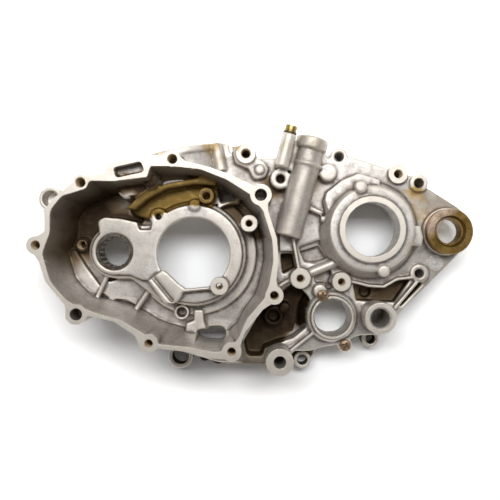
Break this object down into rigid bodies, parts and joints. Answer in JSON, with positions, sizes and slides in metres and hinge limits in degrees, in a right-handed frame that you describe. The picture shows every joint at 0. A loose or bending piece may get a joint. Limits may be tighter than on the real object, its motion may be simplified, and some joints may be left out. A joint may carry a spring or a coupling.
{
  "type": "engine crankcase half",
  "caption": "Left half of a small motorcycle engine's cast crankcase, with generator cavity, shaft bores, clutch release tube and bushed swingarm pivot.",
  "frame": {"origin": "where the crankshaft's axis meets the joint face between the two crankcase halves", "axes": "+Z along the crankshaft, out of the joint face towards the generator cover; +X to the rear of the engine, along its longest extent; +Y up, roughly along the cylinder"},
  "size_m": [0.4, 0.2211, 0.08],
  "materials": {
    "cast_aluminium": "sand-cast grain, machined faces smooth",
    "bearing_steel": "satin, lightly oiled",
    "zinc_plated_steel": "yellow zinc plating",
    "bush_bronze": "dull bronze",
    "plug_brass": "turned brass",
    "dark_washer": "darkened copper"
  },
  "bodies": {
    "root": {"crankcase_casting": "cast_aluminium", "needle_bearing_cup": "bearing_steel", "needle_bearing_cage": "bearing_steel", "needle_rollers": "bearing_steel", "bearing_screw_upper": "zinc_plated_steel", "bearing_screw_lower": "zinc_plated_steel", "pivot_bush": "bush_bronze", "bleed_plug": "plug_brass", "sealing_washer": "dark_washer"}
  },
  "joints": []
}
